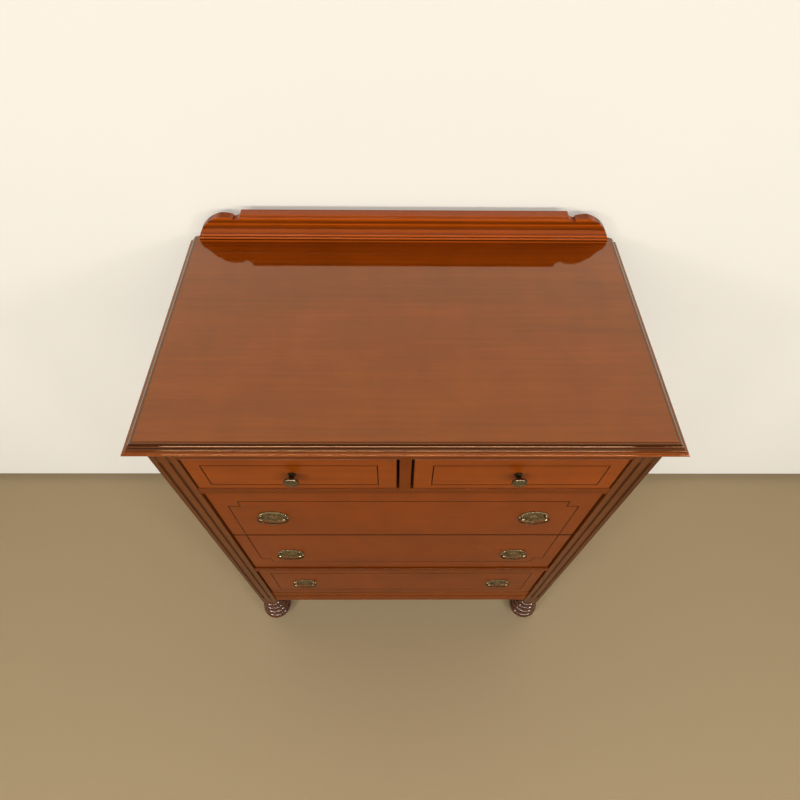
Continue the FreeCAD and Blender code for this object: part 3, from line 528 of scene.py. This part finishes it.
class CHEST_OT_woods(bpy.types.Operator):
    """Give every wooden solid its wood, with the grain along its length"""

    bl_idname = "chest.woods"
    bl_label = "Woods"

    # Finish by the end of a solid's name, the first that fits; other solids have their slot's
    endings = (
        ("gallery", "gallery_wood"),
        ("bottom_rail", "apron_wood"),
        ("_rail", "rail_wood"),
        ("centre_divider", "rail_wood"),
        ("_small_drawer_front", "small_front_wood"),
    )

    # Weight of the polish on each wood
    coats = {
        "top_wood": 0.8, "front_wood": 0.3, "small_front_wood": 0.3, "case_wood": 0.4, "rail_wood": 0.2,
        "apron_wood": 0.2, "gallery_wood": 0.25, "inner_wood": 0.0,
    }

    # Old amber polish on the top mirrors the wall and gallery warmly
    top_polish = {"Roughness": 0.06, "Specular_IOR_Level": 0.9, "Specular_Tint": (1.0, 0.5, 0.12, 1.0)}

    # Painted shade in the quirks and coves and on the upper ovolo of the mouldings, with some old finish,
    # and painted highlights on the gallery's beads and flat top: height over the foot, reach and strength,
    # in millimetres
    top_hollows = ((0.5, 2.5, 0.8), (8.6, 2.4, 0.85), (11.0, 1.8, 1.0), (14.5, 2.4, 1.4))
    gallery_hollows = (
        (4.6, 1.5, 0.9), (11.5, 1.7, 0.9), (19.0, 2.0, 0.35), (28.5, 8.0, 0.6), (43.8, 3.0, 0.8),
        (57.6, 2.0, 0.9),
    )
    gallery_crests = (
        (8.0, 2.2, 0.7), (15.0, 2.2, 0.9), (24.0, 3.0, 0.4), (40.0, 2.5, 0.6), (52.0, 3.0, 0.6),
        (62.0, 2.0, 0.45),
    )

    # Painted shade round a drawer front along its gaps, at its head, foot, left and right, and its reach in
    # millimetres
    edge_strengths = (0.85, 0.6, 0.8, 0.8)
    edge_reach = 2.4

    # Painted shade on a post in millimetres: in its two flutes off the middle, and along its outer edge
    flute_shifts = (-8.75, 8.75)
    flute_reach, flute_strength = 3.6, 0.9
    outer_reach, outer_strength = 12.0, 0.6

    def finish(self, name, slot):
        """Which of the finishes a solid has."""
        return next((finish for ending, finish in self.endings if name.endswith(ending)), slot)

    def rows(self, foot, bands):
        """Level bands over a foot: axis, middle, reach and strength."""
        return [("Z", foot + up * MM, reach * MM, strongest) for up, reach, strongest in bands]

    def hollows(self, name):
        """Where shade is painted on a solid, with some old finish, in the same form."""
        low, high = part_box(name)
        if name == "top":
            return self.rows(low.z, self.top_hollows)
        if name == "gallery":
            return self.rows(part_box("top")[1].z, self.gallery_hollows)
        if name.endswith("_drawer_front"):
            edges = zip("ZZXX", (high.z, low.z, low.x, high.x), self.edge_strengths)
            return [(axis, edge, self.edge_reach * MM, strongest) for axis, edge, strongest in edges]
        if name in ("front_left_post", "front_right_post"):
            centre = (low.x + high.x) / 2
            outside = low.x if low.x < 0 else high.x
            bands = [
                ("X", centre + shift * MM, self.flute_reach * MM, self.flute_strength)
                for shift in self.flute_shifts
            ]
            return bands + [("X", outside, self.outer_reach * MM, self.outer_strength)]
        return ()

    def crests(self, name):
        """Where highlights are painted on a solid, in the same form."""
        return self.rows(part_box("top")[1].z, self.gallery_crests) if name == "gallery" else ()

    def execute(self, context):
        finishes = context.scene.chest_finishes
        made = {}
        for name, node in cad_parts.items():
            slot = node.material_slots[0].material.name
            if slot == "brass":
                continue
            low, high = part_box(name)
            span = high - low
            axis = 1 if name.endswith(DEPTHWISE) else max(range(3), key=lambda i: span[i])
            hollows = self.hollows(name)
            finish = self.finish(name, slot)
            kind = (name if hollows else finish, axis)
            if kind not in made:
                marks = {"hollows": hollows, "crests": self.crests(name), "back": high.y}
                if name == "top":
                    marks["polish"] = self.top_polish
                shade, coat = getattr(finishes, finish), self.coats[finish]
                made[kind] = wood(f"{kind[0]}_{'xyz'[axis]}", shade, axis, coat, **marks)
            node.material_slots[0].material = made[kind]
        return {"FINISHED"}


class CHEST_OT_legs(bpy.types.Operator):
    """Turn the four legs: rounded rings that spread downwards, on a pad"""

    bl_idname = "chest.legs"
    bl_label = "Legs"

    # Below 1 the rings are fuller than round
    fullness = 0.9
    ring_steps = 8
    segments = 72
    upright = 2
    coat = 1.0
    polish = {"Coat_IOR": 1.75}

    def profile(self, sizes, height, widest):
        """Radius and height pairs from the floor up."""
        rings = sizes.ring_count
        tall = (height - sizes.pad_height) / rings
        radii = [widest + (sizes.first_ring - widest) * number / (rings - 1) for number in range(rings)]
        necks = [sizes.leg_pad] + [radius - sizes.ring_groove for radius in radii[1:]] + [sizes.leg_head]
        eased = sizes.ring_groove / 2
        points = [(sizes.leg_pad - eased, 0.0), (sizes.leg_pad, eased)]
        for number, radius in enumerate(radii):
            centre = sizes.pad_height + tall * (number + 0.5)
            for step in range(-self.ring_steps, self.ring_steps + 1):
                turn = QUARTER_TURN * step / self.ring_steps
                neck = necks[number] if step < 0 else necks[number + 1]
                out = max(math.cos(turn), 0.0) ** self.fullness
                up = math.copysign(abs(math.sin(turn)) ** self.fullness, step)
                points.append((neck + (radius - neck) * out, centre + tall / 2 * up))
        return points

    def execute(self, context):
        sizes = context.scene.chest_sizes
        shade = context.scene.chest_finishes.leg_wood
        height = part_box("front_left_post")[0].z
        for row in ("front", "rear"):
            low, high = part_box(f"{row}_legs")
            widest = (high.y - low.y) / 2
            material = wood(f"{row}_leg_wood", shade, self.upright, self.coat, polish=self.polish)
            pattern = turned(f"{row}_leg", self.profile(sizes, height, widest), self.segments)
            for side, x in zip(SIDES, (low.x + widest, high.x - widest)):
                leg = stand(copy(pattern, f"{row}_{side}_leg"), (x, (low.y + high.y) / 2, 0), False)
                dress(leg, "case", "case_wood", material, f"{row}_legs")
            discard(pattern)
        return {"FINISHED"}


class CHEST_OT_backplates(bpy.types.Operator):
    """Stamp the oval backplates: a beaded rim round a fluted field with a low boss"""

    bl_idname = "chest.backplates"
    bl_label = "Backplates"

    # Share of the plate's size and height in millimetres, from the edge to the middle
    rim = (
        (1.0, 0.0), (1.0, 0.7), (0.985, 1.0), (0.955, 1.2), (0.885, 1.2), (0.86, 0.9), (0.84, 0.8),
        (0.82, 1.3), (0.79, 1.5), (0.76, 1.4),
    )
    field = ((0.72, 1.0), (0.36, 0.8))
    boss = ((0.33, 1.0), (0.30, 1.5), (0.24, 1.8), (0.12, 2.0), (0.01, 2.05))

    # Share of the plate's size where the beads run, then heights in millimetres
    bead_ring = 0.92
    bead_height = 1.2
    flute_rise = 0.5
    slack = 0.1

    # Spokes across one flute, how many of them rise, and steps round the oval from bead to bead
    flute_spokes, ridge_spokes = 4, 2
    bead_steps = 20
    plate_smooth, bead_smooth = 35.0, 80.0
    wear, relief = (1.0, 1.0), 2.2

    def plate(self, sizes, half, drop):
        """One plate lying face up at the origin: a round blank, fluted, then stretched to its oval."""
        spokes = sizes.flute_count * self.flute_spokes
        profile = [(share * drop, height * MM) for share, height in self.rim + self.field + self.boss]
        piece = turned("backplate", profile, spokes)
        outer, inner = (share * drop for share, _ in self.field)

        def on_ridge(point):
            spoke = round(math.atan2(point.y, point.x) * spokes / (2 * math.pi))
            away = math.hypot(point.x, point.y)
            on_field = inner - self.slack * MM < away < outer + self.slack * MM
            return on_field and spoke % self.flute_spokes < self.ridge_spokes

        begin(piece)
        pick(piece, "verts", on_ridge)
        bpy.ops.transform.translate(value=(0, 0, self.flute_rise * MM))
        bpy.ops.mesh.select_all(action="SELECT")
        bpy.ops.transform.resize(value=(half / drop, 1, 1), center_override=(0, 0, 0))
        return end(piece, self.plate_smooth)

    def spaced(self, half, drop, number):
        """Places spaced evenly round an oval."""
        steps = number * self.bead_steps
        turns = (2 * math.pi * step / steps for step in range(steps + 1))
        points = [Vector((half * math.cos(turn), drop * math.sin(turn), 0)) for turn in turns]
        run = [0.0]
        for before, after in zip(points, points[1:]):
            run.append(run[-1] + (after - before).length)
        gap = run[-1] / number
        return [next(point for point, far in zip(points, run) if far >= gap * i) for i in range(number)]

    def beads(self, sizes, half, drop):
        """Round beads along the crest of the rim."""
        made = []
        for place in self.spaced(half, drop, sizes.bead_count):
            deselect()
            raised = place + Vector((0, 0, self.bead_height * MM))
            bpy.ops.mesh.primitive_ico_sphere_add(subdivisions=2, radius=sizes.bead, location=raised)
            made.append(bpy.context.object)
        beads = joined(made, "beads")
        begin(beads)
        return end(beads, self.bead_smooth)

    def execute(self, context):
        sizes = context.scene.chest_sizes
        finishes = context.scene.chest_finishes
        pattern = None
        for level in LONG_DRAWERS:
            node = f"{level}_drawer_backplates"
            low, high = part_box(node)
            drop = (high.z - low.z) / 2
            centres = [middle(f"{level}_{side}_bail").x for side in SIDES]
            half = centres[0] - low.x
            if pattern is None:
                ring = self.bead_ring
                parts = [self.plate(sizes, half, drop), self.beads(sizes, half * ring, drop * ring)]
                pattern = joined(parts, "backplate")
                material = metal("plate_brass", finishes, self.wear, high.y, self.relief * MM)
            for side, x in zip(SIDES, centres):
                place = (x, high.y, (low.z + high.z) / 2)
                plate = stand(copy(pattern, f"{level}_{side}_backplate"), place, True)
                dress(plate, f"{level}_drawer", "brass", material, node)
        discard(pattern)
        return {"FINISHED"}


class CHEST_OT_bolts(bpy.types.Operator):
    """Turn the ball-headed bolts of the pulls, with their nuts inside the drawers"""

    bl_idname = "chest.bolts"
    bl_label = "Pull bolts"

    # Radius and distance from the drawer's face in millimetres, then the neck's radius
    collar = ((3.7, 1.0), (3.7, 2.0), (2.9, 2.8), (2.3, 3.6))
    neck = 2.1

    # Share of the ball's radius where the neck ends, and the steps of a quarter turn that make the ball
    neck_end = 0.95
    ball_steps, quarter_steps = range(-5, 9), 9
    segments = 28
    wear, relief = (1.0, 0.4), 10.0

    def profile(self, ball, reach):
        """Radius and height pairs from the collar to the ball, whose middle is at the reach."""
        points = [(radius * MM, out * MM) for radius, out in self.collar]
        points.append((self.neck * MM, reach - ball * self.neck_end))
        for step in self.ball_steps:
            turn = QUARTER_TURN * step / self.quarter_steps
            points.append((ball * math.cos(turn), reach + ball * math.sin(turn)))
        return points

    def execute(self, context):
        sizes = context.scene.chest_sizes
        for level in LONG_DRAWERS:
            node = f"{level}_drawer_pull_bolts"
            face, inner = (corner.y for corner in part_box(f"{level}_drawer_front"))
            low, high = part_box(node)
            height = (low.z + high.z) / 2
            finishes = context.scene.chest_finishes
            material = metal(f"{level}_bolt_brass", finishes, self.wear, face, self.relief * MM)
            for side in SIDES:
                centre = middle(f"{level}_{side}_bail")
                profile = self.profile(sizes.ball, face - centre.y)
                spread = (high.x - low.x) / 2 - abs(centre.x) - sizes.nut / 2
                parts = []
                for x in (centre.x - spread, centre.x + spread):
                    parts.append(stand(turned("bolt", profile, self.segments), (x, face, height), True))
                    parts.append(nut(sizes, (x, inner, height)))
                bolt = joined(parts, f"{level}_{side}_pull_bolts")
                dress(bolt, f"{level}_drawer", "brass", material, node)
        return {"FINISHED"}


class CHEST_OT_bails(bpy.types.Operator):
    """Bend the six bails from round wire"""

    bl_idname = "chest.bails"
    bl_label = "Bails"

    # Millimetres: the pins below the solid bail's head and their length, and the bends beside them
    pin_below, pin_length = 2.6, 8.0
    bend_in, bend_down = 1.6, 1.8
    cheek_in = 0.6

    # Shares of the bow's half width and drop where the cheek and the turn of the bow lie
    cheek_drop = 0.45
    turn_out, turn_drop = 0.55, 0.88

    curve_steps, wire_steps = 10, 4
    merge = 0.01
    smooth = 60.0
    wear, relief = (0.2, 0.3), 12.0

    def path(self, half, drop):
        """Across and down from the middle of the pins, from the left pin to the right one."""
        left = [
            (-half + self.pin_length * MM, 0),
            (-half + self.bend_in * MM, 0),
            (-half, -self.bend_down * MM),
            (-half + self.cheek_in * MM, -drop * self.cheek_drop),
            (-half * self.turn_out, -drop * self.turn_drop),
        ]
        return left + [(0, -drop)] + [(-x, z) for x, z in reversed(left)]

    def bow(self, name, wire, low, high):
        """Round wire along the middle of the solid bail's bar."""
        half = (high.x - low.x) / 2 - wire
        pivot = Vector(((low.x + high.x) / 2, (low.y + high.y) / 2, high.z - self.pin_below * MM))
        path = self.path(half, pivot.z - low.z - wire)
        deselect()
        bpy.ops.curve.primitive_bezier_curve_add()
        curve = bpy.context.object
        curve.name = name
        spline = curve.data.splines[0]
        spline.bezier_points.add(len(path) - 2)
        for point, (x, z) in zip(spline.bezier_points, path):
            point.co = pivot + Vector((x, 0, z))
            point.handle_left_type = "AUTO"
            point.handle_right_type = "AUTO"
        spline.resolution_u = self.curve_steps
        curve.location = (0, 0, 0)
        curve.data.bevel_depth = wire
        curve.data.bevel_resolution = self.wire_steps
        curve.data.use_fill_caps = True
        bpy.ops.object.convert(target="MESH")
        piece = bpy.context.object
        begin(piece)
        bpy.ops.mesh.remove_doubles(threshold=self.merge * MM)
        return end(piece, self.smooth)

    def execute(self, context):
        wire = context.scene.chest_sizes.wire
        finishes = context.scene.chest_finishes
        for level in LONG_DRAWERS:
            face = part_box(f"{level}_drawer_front")[0].y
            material = metal(f"{level}_bail_brass", finishes, self.wear, face, self.relief * MM)
            for side in SIDES:
                node = f"{level}_{side}_bail"
                bail = self.bow(f"{node}_wire", wire, *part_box(node))
                dress(bail, node, "brass", material, node)
        return {"FINISHED"}


class CHEST_OT_knobs(bpy.types.Operator):
    """Turn the knobs of the small drawers, with their nuts inside the drawers"""

    bl_idname = "chest.knobs"
    bl_label = "Knobs"

    # Radius and distance from the drawer's face, in millimetres
    shape = (
        (7.0, 0.0), (7.0, 1.2), (5.6, 2.2), (4.4, 4.0), (4.2, 7.0), (5.0, 9.6), (8.6, 11.4),
        (12.2, 12.8), (13.3, 14.4), (13.5, 15.6), (13.1, 16.8), (11.8, 17.8), (9.6, 18.3), (9.0, 17.9),
        (8.4, 18.4), (5.0, 19.5), (2.0, 19.95), (0.4, 20.0),
    )
    segments = 48
    wear, relief = (0.45, 0.4), 20.0

    def execute(self, context):
        sizes = context.scene.chest_sizes
        finishes = context.scene.chest_finishes
        profile = [(radius * MM, out * MM) for radius, out in self.shape]
        for side in SIDES:
            node = f"{side}_knob"
            face, inner = (corner.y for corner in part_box(f"{side}_small_drawer_front"))
            centre = middle(node)
            material = metal(f"{side}_knob_brass", finishes, self.wear, face, self.relief * MM)
            knob = stand(turned("knob", profile, self.segments), (centre.x, face, centre.z), True)
            parts = [knob, nut(sizes, (centre.x, inner, centre.z))]
            dress(joined(parts, f"{side}_turned_knob"), f"{side}_small_drawer", "brass", material, node)
        return {"FINISHED"}


class CHEST_OT_stringing(bpy.types.Operator):
    """Lay the dark lines into the drawer fronts"""

    bl_idname = "chest.stringing"
    bl_label = "Stringing"

    # A gap below 0, in millimetres, runs a frame off that edge of its front
    off_edge = -10.0
    roughness = 0.4

    def cut_notches(self, piece, centre, reach, sides, edge, outwards):
        """Cut the corners out of a frame's blank; outwards is 1 at its head and -1 at its foot."""
        along, up = (1, 0, 0), (0, 0, 1)
        for place, across in ((sides[0], along), (sides[1], along), (edge, up)):
            bpy.ops.mesh.select_all(action="SELECT")
            bpy.ops.mesh.bisect(plane_co=Vector(across) * place, plane_no=across)
        level = edge - centre.z
        pick(piece, "faces", lambda p: abs(p.x) > reach and (p.y - level) * outwards > 0)
        bpy.ops.mesh.delete(type="FACE")
        bpy.ops.mesh.select_all(action="SELECT")

    def lines(self, name, sizes, node, gaps, notched):
        """A frame of line on one front."""
        left_gap, right_gap, head_gap, foot_gap = gaps
        low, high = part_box(node)
        x0, x1 = low.x + left_gap, high.x - right_gap
        z0, z1 = low.z + foot_gap, high.z - head_gap
        centre = Vector(((x0 + x1) / 2, low.y, (z0 + z1) / 2))
        deselect()
        bpy.ops.mesh.primitive_plane_add(size=1.0, location=centre, rotation=(QUARTER_TURN, 0, 0))
        piece = bpy.context.object
        piece.name = name
        begin(piece)
        bpy.ops.transform.resize(value=(x1 - x0, 1, z1 - z0), center_override=centre)
        if notched:
            notch = sizes.notch
            edge, outwards = (z1 - notch, 1) if head_gap > 0 else (z0 + notch, -1)
            sides = (x0 + notch, x1 - notch)
            self.cut_notches(piece, centre, (x1 - x0) / 2 - notch, sides, edge, outwards)
        bpy.ops.mesh.inset(thickness=sizes.line, depth=0.0)
        bpy.ops.mesh.delete(type="FACE")
        for level, gap, away in ((high.z, head_gap, (0, 0, 1)), (low.z, foot_gap, (0, 0, -1))):
            if gap < 0:
                bpy.ops.mesh.select_all(action="SELECT")
                bpy.ops.mesh.bisect(plane_co=(0, 0, level), plane_no=away, clear_outer=True)
        end(piece)
        thick = piece.modifiers.new("Thickness", "SOLIDIFY")
        thick.thickness = sizes.line_proud * 2
        thick.offset = 0.0
        bpy.ops.object.modifier_apply(modifier=thick.name)
        return piece

    def execute(self, context):
        sizes = context.scene.chest_sizes
        material = plain("stringing", context.scene.chest_finishes.stringing, self.roughness)
        off = self.off_edge * MM
        small = (sizes.small_head, sizes.small_foot)
        ends = (sizes.long_end, sizes.long_end)
        rows = (
            ("left_small_drawer", (sizes.small_outer, sizes.small_inner, *small), False),
            ("right_small_drawer", (sizes.small_inner, sizes.small_outer, *small), False),
            ("upper_drawer", (*ends, sizes.upper_edge, off), True),
            ("middle_drawer", (*ends, off, sizes.middle_edge), True),
            ("bottom_drawer", (*ends, sizes.bottom_edge, sizes.bottom_edge), False),
        )
        for drawer, gaps, notched in rows:
            piece = self.lines(f"{drawer}_stringing", sizes, f"{drawer}_front", gaps, notched)
            dress(piece, drawer, "front_wood", material)
        return {"FINISHED"}


class CHEST_OT_stage(bpy.types.Operator):
    """Set the floor, wall, lamps and camera"""

    bl_idname = "chest.stage"
    bl_label = "Stage"

    sheet_side = 9.0
    floor_roughness = 0.9
    lamp_colour = (1.0, 0.95, 0.87)
    room_colour = (1.0, 0.92, 0.8, 1.0)

    # How much a direction points upwards where the sides turn to ceiling, and where the ceiling is reached
    ceiling_span = (0.25, 0.95)

    # Light that comes from nearer than this many gaps passes the wall
    gap_reach = 3

    def sheet(self, name, place, turn, material):
        """A wide flat sheet."""
        deselect()
        bpy.ops.mesh.primitive_plane_add(size=self.sheet_side, location=place, rotation=turn)
        sheet = bpy.context.object
        sheet.name = name
        sheet.data.materials.append(material)

    def bright(self, name, shade, share, gap):
        """A pale wall that the eye and polished pieces see partly by its own colour.

        It is clear from behind and to light that crosses the gap, so that the back of the chest can be seen.
        """
        material, start = new_material(name)
        tint = shaded(shade, 1.0)
        seen, mirrored, far = (
            start.node("ShaderNodeLightPath", output=output)
            for output in ("Is Camera Ray", "Is Glossy Ray", "Ray Length")
        )
        behind = start.node("ShaderNodeNewGeometry", output="Backfacing")
        close = start.math("LESS_THAN", far, gap * self.gap_reach) * (1 - seen) * (1 - mirrored)
        clear = start.node("ShaderNodeBsdfTransparent", output="BSDF")
        lit = start.node("ShaderNodeBsdfDiffuse", None, {"Color": tint}, "BSDF")
        own = start.node("ShaderNodeEmission", None, {"Color": tint, "Strength": 1.0}, "Emission")
        pale = {0: (seen + mirrored) * share, 1: lit, 2: own}
        mix = start.node("ShaderNodeMixShader", None, pale, "Shader")
        opened = {0: start.math("MAXIMUM", behind, close), 1: mix, 2: clear}
        wall = start.node("ShaderNodeMixShader", None, opened, "Shader")
        start.node("ShaderNodeOutputMaterial", None, {"Surface": wall})
        return material

    def room(self, overhead, around):
        """Even light, lower overhead than at the sides."""
        world = bpy.data.worlds.new("room")
        world.use_nodes = True
        start = Socket(world.node_tree)
        up = start.node("ShaderNodeTexCoord", output="Generated").along("Z")
        level = up.span(*self.ceiling_span, around, overhead)
        background = world.node_tree.nodes["Background"]
        background.inputs["Color"].default_value = self.room_colour
        world.node_tree.links.new(level.source, background.inputs["Strength"])
        return world

    def lamp(self, name, place, aim, width, depth, watts):
        """A flat lamp that points at the chest."""
        bpy.ops.object.light_add(type="AREA", location=place)
        lamp = bpy.context.object
        lamp.name = name
        lamp.data.shape = "RECTANGLE"
        lamp.data.size = width
        lamp.data.size_y = depth
        lamp.data.energy = watts
        lamp.data.color = self.lamp_colour
        lamp.rotation_euler = (Vector(aim) - Vector(place)).to_track_quat("-Z", "Y").to_euler()

    def camera(self, stage):
        """The camera where the photograph was taken from."""
        bpy.ops.object.camera_add()
        camera = bpy.context.object
        camera.data.sensor_width = SENSOR_WIDTH
        camera.data.lens = stage.focal * SENSOR_WIDTH / IMAGE_SIDE
        turn = Matrix.Rotation(stage.yaw, 4, "Z") @ Matrix.Rotation(QUARTER_TURN - stage.pitch, 4, "X")
        turn = turn @ Matrix.Rotation(-stage.roll, 4, "Z")
        camera.matrix_world = Matrix.Translation(stage.camera_place) @ turn
        return camera

    def execute(self, context):
        scene = context.scene
        stage = scene.chest_stage
        self.sheet("floor", (0, 0, 0), (0, 0, 0), plain("floor", stage.floor, self.floor_roughness))
        wall_place = CAD_BOX[1].y + stage.wall_gap
        wall = self.bright("wall", stage.wall, stage.wall_own, stage.wall_gap)
        self.sheet("wall", (0, wall_place, 0), (QUARTER_TURN, 0, 0), wall)
        x, y, z = stage.lamp_place
        side = stage.lamp_side
        for name, across in (("left_lamp", -x), ("right_lamp", x)):
            self.lamp(name, (across, y, z), stage.lamp_aim, side, side, stage.lamp)
        width, depth = stage.long_lamp_width, stage.long_lamp_depth
        self.lamp("long_lamp", stage.long_lamp_place, stage.lamp_aim, width, depth, stage.long_lamp)
        scene.world = self.room(stage.ceiling, stage.sky)
        scene.camera = self.camera(stage)
        scene.view_settings.view_transform = "Standard"
        return {"FINISHED"}


PIECES = (
    CHEST_OT_woods,
    CHEST_OT_legs,
    CHEST_OT_backplates,
    CHEST_OT_bolts,
    CHEST_OT_bails,
    CHEST_OT_knobs,
    CHEST_OT_stringing,
    CHEST_OT_stage,
)


class VIEW3D_PT_chest(bpy.types.Panel):
    """The pieces of the chest, in the order that they are made"""

    bl_label = "Chest of drawers"
    bl_space_type = "VIEW_3D"
    bl_region_type = "UI"
    bl_category = "Chest"

    def draw(self, context):
        for piece in PIECES:
            self.layout.operator(piece.bl_idname)


GROUPS = {"chest_sizes": ChestSizes, "chest_finishes": ChestFinishes, "chest_stage": ChestStage}


def register():
    for group in GROUPS.values():
        bpy.utils.register_class(group)
    for piece in PIECES:
        bpy.utils.register_class(piece)
    bpy.utils.register_class(VIEW3D_PT_chest)
    for name, group in GROUPS.items():
        setattr(bpy.types.Scene, name, PointerProperty(type=group))


def unregister():
    for name in GROUPS:
        delattr(bpy.types.Scene, name)
    bpy.utils.unregister_class(VIEW3D_PT_chest)
    for piece in reversed(PIECES):
        bpy.utils.unregister_class(piece)
    for group in GROUPS.values():
        bpy.utils.unregister_class(group)


def main():
    register()
    bpy.ops.chest.woods()
    bpy.ops.chest.legs()
    bpy.ops.chest.backplates()
    bpy.ops.chest.bolts()
    bpy.ops.chest.bails()
    bpy.ops.chest.knobs()
    bpy.ops.chest.stringing()
    bpy.ops.chest.stage()


if __name__ == "__main__":
    main()
